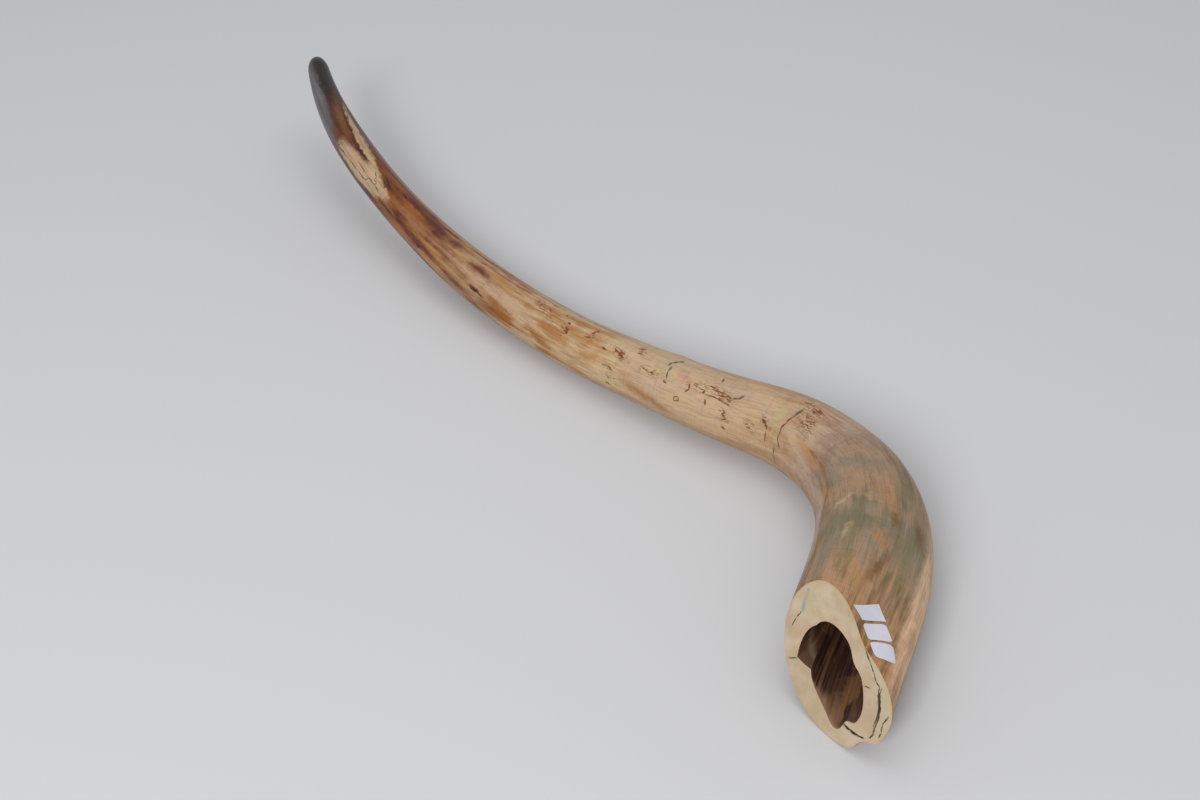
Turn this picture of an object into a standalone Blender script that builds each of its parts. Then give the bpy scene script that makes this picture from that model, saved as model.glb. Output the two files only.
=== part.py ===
"""A mammoth tusk, sawn off obliquely at its base and lying on a level surface.

The tusk is one grown piece. Its middle line starts in the saw cut and runs to
the tip. Around each point of that line the section is an oval, hollowed along
one shoulder near the base. The saw cut is a plane. The pulp cavity is a second,
tapering tube inside the first, open at the cut. Three small papers are stuck in
the hollow of the shoulder, beside the cut.

Distances are in millimetres until the points go into a mesh, in metres.
Angle 0 is the outer side of the bend, 90 the top, 180 the inner side.
"""

import bpy
import numpy as np

MM = 0.001

# The middle line, from the saw cut to the tip.
TUSK_LENGTH = 1106.0

# Distance along the middle line, heading in plan (0 is +X, 90 is +Y), width and
# height of the section, and clearance between its lowest point and the table.
STATIONS = (
    (-60, 74, 86, 88, -1),
    (60, 69, 94, 97, 3),
    (170, 91, 86, 88, 3),
    (250, 118, 73, 74, 0),
    (330, 146.9, 63, 63, 1),
    (420, 142.1, 55.3, 55.3, 3),
    (530, 137.6, 50.5, 50.5, 0),
    (670, 130.8, 46.8, 46.8, 6),
    (810, 124.7, 39.7, 39.7, 24),
    (960, 116, 35.4, 35.4, 48),
    (1106, 103.4, 21.7, 21.7, 77.3),
)
LINE_START = -90.0
LINE_STEP = 1.0

# The blunt end of the tip.
TIP_ROUND = 26.0
TIP_POWER = 2.2

# The hollow along the shoulder, between the outer side and the top.
SHOULDER_ANGLE = 60.0
SHOULDER_SPREAD = 140.0
SHOULDER_DEPTH = 21.0
SHOULDER_START = -40.0
SHOULDER_FADE = 140.0

# The saw cut leans back towards the inner side and the top, by these slopes.
CUT_TURN = 0.63
CUT_LEAN = 0.58
CUT_TRIES = 40

# The nick where splits have broken the rim's lower edge.
NICK_ANGLE = 311.0
NICK_SPREAD = 36.0
NICK_DEPTH = 5.0
NICK_LENGTH = 14.0

# The pulp cavity: a leaning oval about a line a little below the middle line.
CAVITY_END = 235.0
CAVITY_LONG = 28.0
CAVITY_SHORT = 20.5
CAVITY_TILT = 127.0
CAVITY_ACROSS = -1.0
CAVITY_UP = -5.0
CAVITY_TAPER = 1.6

# The chip broken from the cavity's edge: it reaches out more and more, then stops short.
CHIP_FROM = 142.0
CHIP_PEAK = 200.0
CHIP_TO = 211.0
CHIP_REACH = 12.0
CHIP_FADE = 14.0

# The worn floor, where the cavity opens out onto the face.
WORN_ANGLE = 272.0
WORN_SPREAD = 90.0
WORN_REACH = 4.0
WORN_FADE = 30.0

# The split that follows the growth rings inside the rim, on the outer side.
SPLIT_INSET = 8.0
SPLIT_HALF_WIDTH = 1.3
SPLIT_DEPTH = 26.0
SPLIT_ANGLE = 350.0
SPLIT_SPREAD = 84.0

# How finely each part of the surface is divided.
COLUMNS = 48
TIP_ROWS = 6
SKIN_ROWS = 56
CAVITY_ROWS = 14
RIM_CROWDING = 0.6

# Each paper's corners on the skin: distance along the tusk and angle around it.
PAPERS = {
    "label_top": ((25, 89), (39, 60), (30, 43), (20, 73)),
    "label_middle": ((18, 71), (28, 42), (18, 28), (10, 54)),
    "label_bottom": ((9, 52), (16, 27), (4, 17), (0, 38)),
}
PAPER_THICKNESS = 0.3
PAPER_GAP = 0.3
PAPER_STEPS = 6

# Colours, red to blue from 0 to 1, and how rough each surface looks.
IVORY_COLOUR = (0.52, 0.36, 0.2)
IVORY_ROUGHNESS = 0.32
PAPER_COLOUR = (0.85, 0.85, 0.83)
PAPER_ROUGHNESS = 0.7
SHARP_DEGREES = 35.0


def smooth(x, stations, values):
    """A cubic through the values. Its slope at a station is the mean of the two
    chords that meet there, the shorter one counting more."""
    stations = np.asarray(stations, float)
    values = np.asarray(values, float)
    gap = np.diff(stations)
    chord = np.diff(values) / gap
    slope = np.empty_like(values)
    slope[0] = chord[0]
    slope[-1] = chord[-1]
    slope[1:-1] = (gap[1:] * chord[:-1] + gap[:-1] * chord[1:]) / (gap[1:] + gap[:-1])
    span = np.clip(np.searchsorted(stations, x, side="right") - 1, 0, len(gap) - 1)
    t = (x - stations[span]) / gap[span]
    return (
        (2 * t**3 - 3 * t**2 + 1) * values[span]
        + (t**3 - 2 * t**2 + t) * gap[span] * slope[span]
        + (3 * t**2 - 2 * t**3) * values[span + 1]
        + (t**3 - t**2) * gap[span] * slope[span + 1]
    )


def trace_line():
    """Walks the middle line in equal steps along the heading. It climbs as the
    section's half height and clearance grow."""
    table = np.array(STATIONS, float)
    distance = np.arange(LINE_START, TUSK_LENGTH + LINE_STEP / 2, LINE_STEP)
    heading = np.radians(smooth(distance, table[:, 0], table[:, 1]))
    half_width = smooth(distance, table[:, 0], table[:, 2]) / 2
    half_height = smooth(distance, table[:, 0], table[:, 3]) / 2
    height = half_height + smooth(distance, table[:, 0], table[:, 4])
    climb = np.gradient(height, LINE_STEP)
    level = np.sqrt(1 - climb**2)
    forward = np.stack([np.cos(heading) * level, np.sin(heading) * level, climb], axis=1)
    middle = np.zeros_like(forward)
    middle[1:] = np.cumsum((forward[1:] + forward[:-1]) / 2 * LINE_STEP, axis=0)
    middle -= middle[np.searchsorted(distance, 0.0)]
    middle[:, 2] = height
    side = np.stack([np.sin(heading), -np.cos(heading), np.zeros_like(heading)], axis=1)
    return {
        "distance": distance,
        "middle": middle,
        "forward": forward,
        "side": side,
        "up": np.cross(side, forward),
        "half_width": half_width,
        "half_height": half_height,
    }


LINE = trace_line()


def along_line(name, distance):
    """Reads one column of the middle line, a number or a vector, at any distances."""
    column = LINE[name]
    if column.ndim == 1:
        return np.interp(distance, LINE["distance"], column)
    parts = [np.interp(distance, LINE["distance"], column[:, k]) for k in range(3)]
    return np.stack(parts, axis=-1)


def place(distance, across, up):
    """The point this far across and up from the middle line, in the section at that distance."""
    return (
        along_line("middle", distance)
        + across[..., None] * along_line("side", distance)
        + up[..., None] * along_line("up", distance)
    )


def hump(angle, centre, spread):
    """A smooth hump in the angle: 1 at its centre and 0 from half its spread on."""
    away = np.abs((angle - np.radians(centre) + np.pi) % (2 * np.pi) - np.pi)
    return np.cos(np.pi / 2 * np.clip(away / np.radians(spread / 2), 0, 1)) ** 2


def cut_plane():
    """A point on the saw cut and the cut's outward normal."""
    normal = (
        -along_line("forward", 0.0)
        - CUT_TURN * along_line("side", 0.0)
        + CUT_LEAN * along_line("up", 0.0)
    )
    return along_line("middle", 0.0), normal / np.linalg.norm(normal)


CUT_POINT, CUT_NORMAL = cut_plane()


def skin(distance, angle, lift=0.0):
    """The outer skin, plus any lift: an oval that closes at the tip like a blunt
    bullet, less its hollow and its nick."""
    to_tip = np.clip((TUSK_LENGTH - distance) / TIP_ROUND, 0, 1)
    closing = (1 - (1 - to_tip) ** TIP_POWER) ** (1 / TIP_POWER)
    fade = np.exp(-((np.clip(distance - SHOULDER_START, 0, None) / SHOULDER_FADE) ** 2))
    hollow = SHOULDER_DEPTH * fade * hump(angle, SHOULDER_ANGLE, SHOULDER_SPREAD)
    width = closing * along_line("half_width", distance)
    height = closing * along_line("half_height", distance)
    smooth_skin = place(distance, width * np.cos(angle), height * np.sin(angle))
    from_cut = np.clip((CUT_POINT - smooth_skin) @ CUT_NORMAL, 0, None)
    nick = NICK_DEPTH * hump(angle, NICK_ANGLE, NICK_SPREAD) * np.exp(-from_cut / NICK_LENGTH)
    inward = hollow + nick - lift
    return place(distance, (width - inward) * np.cos(angle), (height - inward) * np.sin(angle))


def cavity_tube(distance, angle, size=1.0, depth=0.0):
    """A tube of the cavity's outline: a leaning oval scaled by size, opened by its
    chip and its worn floor, which fade with depth."""
    lean = angle - np.radians(CAVITY_TILT)
    oval = 1 / np.hypot(np.cos(lean) / CAVITY_LONG, np.sin(lean) / CAVITY_SHORT)
    degrees = np.degrees(angle) % 360
    rising = np.clip((degrees - CHIP_FROM) / (CHIP_PEAK - CHIP_FROM), 0, 1)
    falling = np.clip((CHIP_TO - degrees) / (CHIP_TO - CHIP_PEAK), 0, 1)
    chip = CHIP_REACH * np.minimum(rising, falling) * np.exp(-depth / CHIP_FADE)
    worn = WORN_REACH * hump(angle, WORN_ANGLE, WORN_SPREAD) * np.exp(-depth / WORN_FADE)
    radius = size * (oval + chip + worn)
    across = size * CAVITY_ACROSS + radius * np.cos(angle)
    up = size * CAVITY_UP + radius * np.sin(angle)
    return place(distance, across, up)


def cut_distance(tube, angle):
    """How far along the middle line a tube meets the saw cut at each angle, found
    by repeated steps onto the plane."""
    per_step = -CUT_NORMAL @ along_line("forward", 0.0)
    distance = np.zeros_like(angle)
    for _ in range(CUT_TRIES):
        distance = distance + (tube(distance, angle) - CUT_POINT) @ CUT_NORMAL / per_step
    return distance


def skin_rings(angle):
    """Rings from the tip to the rim: close together round the blunt end, then in
    steps that shorten towards the rim."""
    rim = cut_distance(skin, angle)
    turn = np.linspace(0, np.pi / 2, TIP_ROWS + 1)[1:, None] + 0 * angle
    blunt = TUSK_LENGTH - TIP_ROUND * (1 - np.cos(turn))
    share = np.linspace(0, 1, SKIN_ROWS + 1)[1:, None]
    eased = share + RIM_CROWDING * share * (1 - share)
    start = TUSK_LENGTH - TIP_ROUND
    return skin(np.concatenate([blunt, start + (rim - start) * eased]), angle)


def face_rings(rim, mouth, angle):
    """Rings on straight lines from rim to mouth. The middle one is sunk along the
    tusk to make the split."""
    wall = np.linalg.norm(mouth - rim, axis=1)
    inward = (mouth - rim) / wall[:, None]
    opening = hump(angle, SPLIT_ANGLE, SPLIT_SPREAD)[:, None]
    sunk = SPLIT_DEPTH * opening * along_line("forward", 0.0)
    edge = rim + (SPLIT_INSET - SPLIT_HALF_WIDTH) * inward
    bottom = rim + SPLIT_INSET * inward + sunk
    far_edge = rim + (SPLIT_INSET + SPLIT_HALF_WIDTH) * inward
    return np.stack([edge, bottom, far_edge])


def cavity_rings(angle):
    """Rings from the mouth to the cavity's end. The oval's size falls as a power of
    the share of its depth."""
    start = cut_distance(cavity_tube, angle)
    share = np.linspace(0, 1, CAVITY_ROWS + 1)[:-1, None]
    size = (1 - share**CAVITY_TAPER) ** (1 / CAVITY_TAPER)
    distance = start + (CAVITY_END - start) * share
    return cavity_tube(distance, angle, size, distance - start)


def tusk_rings():
    """The whole surface in one run of rings: tip, skin, sawn face and cavity."""
    angle = np.linspace(0, 2 * np.pi, COLUMNS, endpoint=False)
    outer = skin_rings(angle)
    inner = cavity_rings(angle)
    return np.concatenate([outer, face_rings(outer[-1], inner[0], angle), inner])


def paper_sheet(corners, lift):
    """A grid on the skin between four corners: each point's distance and angle are blended from theirs."""
    corners = np.array(corners, float)
    u = np.linspace(0, 1, PAPER_STEPS + 1)[None, :, None]
    v = np.linspace(0, 1, PAPER_STEPS + 1)[:, None, None]
    upper = corners[0] * (1 - u) + corners[1] * u
    lower = corners[3] * (1 - u) + corners[2] * u
    spot = upper * (1 - v) + lower * v
    return skin(spot[..., 0], np.radians(spot[..., 1]), lift)


def make_mesh(name, points, faces, origin):
    """A mesh in metres about the origin."""
    mesh = bpy.data.meshes.new(name)
    mesh.from_pydata(((points - origin) * MM).tolist(), [], faces)
    return mesh


def tusk_mesh(rings, ends, origin):
    """Joins ring to ring, and closes the run with a fan at the tip and one at the
    cavity's end."""
    rows, columns = rings.shape[:2]
    index = np.arange(rows * columns).reshape(rows, columns)
    turned = np.roll(index, -1, axis=1)
    quads = np.stack([index[:-1], turned[:-1], turned[1:], index[1:]], axis=-1)
    faces = quads.reshape(-1, 4).tolist()
    tip = rows * columns
    faces += [(tip, b, a) for a, b in zip(index[0].tolist(), turned[0].tolist())]
    faces += [(tip + 1, a, b) for a, b in zip(index[-1].tolist(), turned[-1].tolist())]
    return make_mesh("tusk", np.concatenate([rings.reshape(-1, 3), ends]), faces, origin)


def paper_mesh(name, corners, origin):
    """A paper's lower and upper sheets, joined along their four edges."""
    lower = paper_sheet(corners, PAPER_GAP)
    upper = paper_sheet(corners, PAPER_GAP + PAPER_THICKNESS)
    side = PAPER_STEPS + 1
    below = np.arange(side * side).reshape(side, side)
    above = below + side * side
    facing_in = [below[:-1, :-1], below[:-1, 1:], below[1:, 1:], below[1:, :-1]]
    facing_out = [above[:-1, :-1], above[1:, :-1], above[1:, 1:], above[:-1, 1:]]
    faces = np.stack(facing_in, axis=-1).reshape(-1, 4).tolist()
    faces += np.stack(facing_out, axis=-1).reshape(-1, 4).tolist()
    border = np.concatenate([below[0, :-1], below[:-1, -1], below[-1, :0:-1], below[:0:-1, 0]])
    following = np.roll(border, -1)
    edges = [border, border + side * side, following + side * side, following]
    faces += np.stack(edges, axis=-1).tolist()
    points = np.concatenate([lower.reshape(-1, 3), upper.reshape(-1, 3)])
    return make_mesh(name, points, faces, origin)


def plain_material(name, colour, roughness):
    """A material of one colour and roughness."""
    material = bpy.data.materials.new(name)
    material.use_nodes = True
    shader = material.node_tree.nodes["Principled BSDF"]
    shader.inputs["Base Color"].default_value = (*colour, 1.0)
    shader.inputs["Roughness"].default_value = roughness
    return material


def add_object(name, mesh, material):
    """Puts a mesh in the scene with its material, shaded smooth except at sharp edges."""
    mesh.materials.append(material)
    mesh.shade_smooth()
    mesh.set_sharp_from_angle(angle=np.radians(SHARP_DEGREES))
    bpy.context.scene.collection.objects.link(bpy.data.objects.new(name, mesh))


def main():
    for old in list(bpy.data.objects):
        bpy.data.objects.remove(old, do_unlink=True)
    rings = tusk_rings()
    ends = np.array([along_line("middle", TUSK_LENGTH), along_line("middle", CAVITY_END)])
    points = np.concatenate([rings.reshape(-1, 3), ends])
    low, high = points.min(axis=0), points.max(axis=0)
    origin = np.array([(low[0] + high[0]) / 2, (low[1] + high[1]) / 2, low[2]])
    ivory = plain_material("ivory", IVORY_COLOUR, IVORY_ROUGHNESS)
    paper = plain_material("paper", PAPER_COLOUR, PAPER_ROUGHNESS)
    add_object("tusk", tusk_mesh(rings, ends, origin), ivory)
    for name, corners in PAPERS.items():
        add_object(name, paper_mesh(name, corners, origin), paper)


main()
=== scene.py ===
"""A mammoth tusk with its grain, stains, cracks and worn tip, on a pale studio floor.

The shape is worked out as in the part's source: ovals about a middle line, a saw
cut, and a tapering pulp cavity. Distances are in millimetres until the points go
into a mesh, in metres. Angle 0 is the outer side of the bend, 90 the top and 180
the inner side.
"""

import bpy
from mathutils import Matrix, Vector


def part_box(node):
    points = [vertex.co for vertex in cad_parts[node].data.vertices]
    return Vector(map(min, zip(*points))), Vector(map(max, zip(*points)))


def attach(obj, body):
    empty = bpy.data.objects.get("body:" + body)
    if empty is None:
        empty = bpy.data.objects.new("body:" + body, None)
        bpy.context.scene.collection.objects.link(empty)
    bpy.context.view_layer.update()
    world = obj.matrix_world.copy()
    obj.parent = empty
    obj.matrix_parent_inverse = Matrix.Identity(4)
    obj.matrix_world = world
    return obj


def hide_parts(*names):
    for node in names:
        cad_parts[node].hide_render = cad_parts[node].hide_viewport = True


bl_info = {
    "name": "Mammoth Tusk",
    "version": (1, 0, 0),
    "blender": (4, 5, 0),
    "location": "View3D > Sidebar > Tusk",
    "description": "Builds a mammoth tusk, its papers and a small studio",
    "category": "Object",
}

from functools import partialmethod

import bpy
import numpy as np
from bpy.props import FloatProperty, FloatVectorProperty, IntProperty, PointerProperty
from mathutils import Euler, Matrix, Vector

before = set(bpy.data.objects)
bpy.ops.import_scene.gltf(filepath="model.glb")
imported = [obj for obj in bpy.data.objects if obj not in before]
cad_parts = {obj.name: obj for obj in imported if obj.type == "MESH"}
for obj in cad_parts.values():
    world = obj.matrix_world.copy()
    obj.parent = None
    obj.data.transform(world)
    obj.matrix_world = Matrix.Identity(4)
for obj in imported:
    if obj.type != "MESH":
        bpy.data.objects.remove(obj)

MM = 0.001

# The middle line, from the saw cut to the tip: distance along it, heading in plan,
# width and height of the section, and clearance under it.
TUSK_LENGTH = 1106.0
STATIONS = (
    (-60, 74, 86, 88, -1),
    (60, 69, 94, 97, 3),
    (170, 91, 86, 88, 3),
    (250, 118, 73, 74, 0),
    (330, 146.9, 63, 63, 1),
    (420, 142.1, 55.3, 55.3, 3),
    (530, 137.6, 50.5, 50.5, 0),
    (670, 130.8, 46.8, 46.8, 6),
    (810, 124.7, 39.7, 39.7, 24),
    (960, 116, 35.4, 35.4, 48),
    (1106, 103.4, 21.7, 21.7, 77.3),
)
LINE_START = -90.0
LINE_STEP = 1.0
TIP_ROUND = 26.0
TIP_POWER = 2.2

# The hollow along the shoulder, the saw cut and the nick in the rim.
SHOULDER_ANGLE = 60.0
SHOULDER_SPREAD = 140.0
SHOULDER_DEPTH = 21.0
SHOULDER_START = -40.0
SHOULDER_FADE = 140.0
CUT_TURN = 0.63
CUT_LEAN = 0.58
CUT_TRIES = 40
NICK_ANGLE = 311.0
NICK_SPREAD = 36.0
NICK_DEPTH = 5.0
NICK_LENGTH = 14.0

# The pulp cavity, its chip and its worn floor.
CAVITY_END = 235.0
CAVITY_LONG = 28.0
CAVITY_SHORT = 20.5
CAVITY_TILT = 127.0
CAVITY_ACROSS = -1.0
CAVITY_UP = -5.0
CAVITY_TAPER = 1.6
CHIP_FROM = 142.0
CHIP_PEAK = 200.0
CHIP_TO = 211.0
CHIP_REACH = 12.0
CHIP_FADE = 14.0
WORN_ANGLE = 272.0
WORN_SPREAD = 90.0
WORN_REACH = 4.0
WORN_FADE = 30.0
CAVITY_EASE = 1.4

# Flutes along the cavity: (height, waves round it, length of a turn), and their start.
FLUTES = ((0.25, 23, 31), (0.2, 41, -19))
FLUTE_START = 12.0

# The cavity's paler floor, edge and chip (partly painted light falling in at the mouth, and a painted
# highlight on the chip), and the radius its grain is laid out on.
PALE_ANGLE = 258.0
PALE_SPREAD = 80.0
PALE_FADE = 9.0
EDGE_PALE = 0.6
EDGE_FADE = 1.2
CHIP_OVER_PALE = 1.5
GRAIN_RADIUS = 24.0

# Low relief on the skin: (waves round the tusk, turns along it, height, start).
RIPPLES = ((5, 1.3, 0.22, 0.4), (9, -2.1, 0.14, 2.2), (17, 3.4, 0.08, 4.0), (29, -5.0, 0.05, 1.1))
# Where the ripples fade in and out: (distance, length).
RIPPLES_IN = (50.0, 80.0)
RIPPLES_OUT = (1090.0, 60.0)
# Swellings: (distance, angle, length, spread in degrees, height).
SWELLINGS = ((287, 76, 26, 60, 0.9), (420, 52, 9, 34, 0.9), (186, 148, 110, 26, 0.7))

# The cavity's edge off its plain oval: (angle, spread in degrees, reach).
MOUTH_WAVES = ((228, 70, 3.0), (281, 36, 3.5), (52, 60, -3.0), (302, 30, -2.5))
MOUTH_FADE = 30.0

# Cracks on the sawn face as runs of points (across, up), with half width and depth.
FACE_CRACKS = (
    (((16, 22), (21, 17), (25, 13), (28, 9), (31, 8)), 0.5, 1.5),
    (((31, 8), (31, 5), (32, 3)), 0.5, 1.2),
    (((33, 9), (32, 3)), 0.4, 1.0),
    (((32, 3), (34, -4), (34, -9), (33, -16)), 1.0, 22.0),
    (((33, -17), (33, -21), (31, -25)), 0.6, 2.0),
    (((41, -4), (38, -11), (38, -17), (37, -20)), 0.5, 1.2),
    (((9, -29), (12, -31), (16, -31), (22, -30)), 1.0, 6.0),
    (((22, -30), (27, -28)), 0.6, 3.0),
    (((-36, 12), (-39, 6), (-41, -1)), 0.4, 0.5),
    (((-39, -22), (-32, -17)), 0.45, 1.0),
    (((20, 1), (25, 3)), 0.35, 0.4),
)
# Stains on the sawn face: (run of points, reach, strength).
FACE_STAINS = (
    (((-34, 28), (-35, 20), (-35, 14)), 4.5, 1.0),
    (((-33, 29), (-31, 14)), 6.5, 0.45),
    (((20, 22), (34, 9), (38, -2), (38, -14)), 6.0, 0.45),
)
# A crack along the cavity's floor: runs of (angle, depth), with half width.
CAVITY_CRACK = (((297, -1), (295, 7), (291, 15)), 0.9)

# Each paper's corners on the skin, distance and angle, and how far its corners round.
PAPERS = {
    "label_top": (((25, 89), (39, 60), (30, 43), (20, 73)), 0.0),
    "label_middle": (((18, 71), (28, 42), (18, 28), (10, 54)), 0.12),
    "label_bottom": (((9, 52), (16, 27), (4, 17), (0, 38)), 0.14),
}
PAPER_GAP = 0.3
PAPER_SQUARENESS = 8

# Colours as they look in the light, red to blue out of 255.
BLACK = (38, 30, 25)
# The next two paint the tip's dark facet: its grey with a painted reflection of the light, and a painted
# highlight along it.
FACET_GREY_AND_REFLECTION = (92, 91, 91)
PAINTED_FACET_HIGHLIGHT = (108, 108, 112)
HORN = (88, 60, 42)
SOOT = (76, 42, 24)
RUSSET = (98, 54, 30)
RUST = (120, 66, 34)
AMBER = (144, 92, 48)
HONEY = (166, 122, 78)
SAND = (168, 136, 102)
IVORY = (182, 154, 122)
CREAM = (186, 163, 130)
LEMON = (172, 158, 118)
ROSE = (176, 152, 132)
# Pink and mauve are also used for a painted reflection of the soft light along the ridge.
PINK_AND_REFLECTION = (180, 148, 124)
MAUVE_AND_REFLECTION = (142, 104, 82)
DUSK = (144, 120, 104)
OLIVE = (124, 114, 88)
MOSS = (110, 103, 80)
PATINA = (134, 123, 106)
TAN = (164, 124, 86)
CLAY = (164, 130, 102)
UMBER = (110, 80, 54)
# The pale band on the outer side, partly its own colour and partly painted light: it is made paler than it
# is, to light that side, which faces away from the main light.
PALE_BAND_AND_PAINTED_LIGHT = (214, 178, 146)
SCAR = (84, 82, 66)
ETCHED = (112, 64, 36)
OCHRE = (136, 98, 64)
FACE_DULL = (170, 150, 123)
FACE_PALE = (184, 168, 144)
FACE_RING = (170, 144, 112)
FACE_RIM = (178, 150, 108)
FACE_MOUTH = (182, 146, 118)
FACE_WASH = (172, 164, 134)
FACE_STREAK = (132, 138, 132)
FACE_SPLIT = (44, 31, 22)
CAVITY_DARK = (56, 41, 34)
CAVITY_LIGHT = (88, 63, 46)
CAVITY_BROWN = (128, 94, 62)
CAVITY_FLOOR_AND_LIGHT = (132, 106, 84)
CAVITY_SPLIT = (40, 28, 22)
CHIP_LIGHT = (108, 88, 70)
CHIP_DARK = (82, 60, 45)
SMUDGE = (150, 146, 140)

# The skin's lighter and darker grain: (share of the length from the cut, colour).
LIGHT_GRAIN = (
    (0.00, TAN), (0.05, CLAY), (0.09, PATINA), (0.15, CLAY), (0.22, ROSE), (0.27, IVORY),
    (0.46, CREAM), (0.54, IVORY), (0.60, SAND), (0.66, HONEY), (0.72, AMBER), (0.80, RUST),
    (0.88, HORN), (0.94, BLACK), (1.00, BLACK),
)
DARK_GRAIN = (
    (0.00, UMBER), (0.06, OLIVE), (0.13, MOSS), (0.18, DUSK), (0.23, CLAY), (0.28, SAND),
    (0.38, ROSE), (0.44, HONEY), (0.52, AMBER), (0.58, RUST), (0.65, RUSSET), (0.74, SOOT),
    (0.90, SOOT), (0.94, BLACK), (1.00, BLACK),
)

# Soft patches: (distance, angle) at both ends, half width, soft share, colour.
PATCHES = (
    # The tip's dark grey facet with a painted reflection of the light, then a painted highlight along it.
    ((1082, 150), (945, 165), 12.5, 0.25, FACET_GREY_AND_REFLECTION),
    ((1060, 140), (985, 132), 4.4, 1.2, PAINTED_FACET_HIGHLIGHT),
    ((1090, 84), (1000, 92), 5.5, 0.6, BLACK),
    ((1010, 76), (930, 112), 4.2, 1.05, UMBER),
    ((962, 42), (860, 68), 5.5, 0.5, RUSSET),
    ((990, 58), (850, 105), 3.6, 0.3, CREAM),
    ((928, 150), (832, 142), 11, 0.25, CREAM),
    ((880, 112), (818, 136), 5.5, 0.3, CREAM),
    ((925, 126), (820, 140), 5.5, 0.6, PINK_AND_REFLECTION),
    ((930, 168), (858, 166), 2.8, 0.6, LEMON),
    ((925, 68), (862, 98), 2.2, 1.15, LEMON),
    # These two along the ridge are a painted reflection of the soft light, in mauve and pink.
    ((805, 126), (700, 128), 4.8, 1.15, MAUVE_AND_REFLECTION),
    ((705, 127), (555, 130), 6.2, 1.15, PINK_AND_REFLECTION),
    ((838, 96), (740, 118), 4, 1.15, AMBER),
    ((818, 72), (735, 86), 6, 0.6, RUSSET),
    ((800, 88), (778, 84), 4, 1.05, SOOT),
    ((765, 100), (735, 92), 5.8, 1.15, SOOT),
    ((724, 96), (698, 92), 5.8, 1.15, SOOT),
    ((678, 106), (640, 114), 4.2, 1.15, SOOT),
    ((690, 104), (655, 78), 5.8, 1.15, SAND),
    ((650, 96), (610, 108), 5.8, 1.15, HONEY),
    ((614, 96), (578, 103), 6.2, 1.2, IVORY),
    ((636, 75), (626, 78), 4.5, 1.15, MAUVE_AND_REFLECTION),
    ((772, 157), (710, 164), 3.8, 1.05, RUSSET),
    ((754, 168), (742, 168), 2, 0.6, BLACK),
    ((662, 153), (640, 157), 2.6, 0.6, SOOT),
    ((700, 173), (660, 178), 5, 1.05, RUSSET),
    ((695, 147), (662, 149), 3.8, 1.2, SAND),
    ((636, 153), (600, 162), 3.8, 1.15, AMBER),
    ((572, 155), (556, 172), 3.8, 1.15, AMBER),
    ((545, 138), (528, 150), 6.2, 1.2, HONEY),
    ((512, 154), (486, 148), 5, 1.2, HONEY),
    ((505, 106), (492, 112), 5, 1.2, HONEY),
    ((457, 166), (402, 190), 5.2, 1.15, AMBER),
    ((428, 102), (412, 128), 3.8, 1.2, LEMON),
    ((405, 114), (396, 118), 7, 0.5, PINK_AND_REFLECTION),
    ((368, 100), (322, 114), 6.2, 1.2, ROSE),
    ((318, 126), (308, 132), 6.2, 1.15, ROSE),
    ((300, 110), (297, 142), 5.6, 1.2, LEMON),
    ((236, 120), (208, 76), 8.8, 1.15, DUSK),
    ((202, 112), (190, 90), 8.8, 1.15, CLAY),
    ((193, 136), (170, 80), 13.8, 1.05, PATINA),
    ((157, 118), (148, 62), 13.8, 1.05, CLAY),
    ((184, 142), (160, 126), 8, 1.05, PATINA),
    ((141, 84), (119, 72), 6.9, 1.15, TAN),
    ((137, 111), (130, 96), 4.2, 1.2, SAND),
    ((124, 138), (136, 118), 2.6, 1.2, CREAM),
    ((104, 114), (83, 118), 3, 1.2, CREAM),
    ((116, 74), (110, 68), 5, 1.15, UMBER),
    ((106, 126), (103, 90), 10, 1.05, MOSS),
    ((93, 86), (87, 78), 8, 0.9, TAN),
    ((59, 104), (45, 98), 5.6, 1.15, TAN),
    ((52, 92), (38, 88), 4.8, 1.15, TAN),
    ((78, 70), (48, 86), 4.5, 1.15, UMBER),
    ((90, 130), (36, 134), 7.5, 1.05, PATINA),
    ((166, 58), (138, 52), 7.5, 1.15, OLIVE),
    ((98, 64), (86, 54), 10, 1.15, OLIVE),
    ((122, 42), (106, 36), 6.9, 1.15, UMBER),
    ((260, 141), (212, 150), 5, 1.2, HONEY),
    # The pale band on the outer side, partly painted light that brightens the side facing away from the
    # main light.
    ((232, 38), (150, 12), 9, 0.6, PALE_BAND_AND_PAINTED_LIGHT),
    ((150, 8), (-30, 5), 13, 0.5, PALE_BAND_AND_PAINTED_LIGHT),
    ((205, 172), (20, 174), 14, 0.35, ROSE),
)

# Where short dark flecks gather: runs of (distance, angle), with half width.
FLECKED = (
    (((376, 114), (350, 130)), 5.0), (((357, 146), (350, 161)), 3.5),
    (((475, 112), (459, 128)), 4.2), (((454, 86), (446, 106)), 3.8),
    (((441, 127), (421, 130)), 4.4), (((507, 88), (503, 120)), 4.0),
    (((536, 116), (529, 130)), 4.0), (((477, 150), (466, 190)), 4.0), (((292, 78), (262, 96)), 6.0),
    (((277, 104), (257, 126)), 8.0), (((317, 128), (304, 147)), 3.6),
    (((396, 120), (370, 128)), 4.0), (((582, 88), (558, 112)), 5.0),
    (((330, 150), (318, 160)), 4.0),
)

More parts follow.
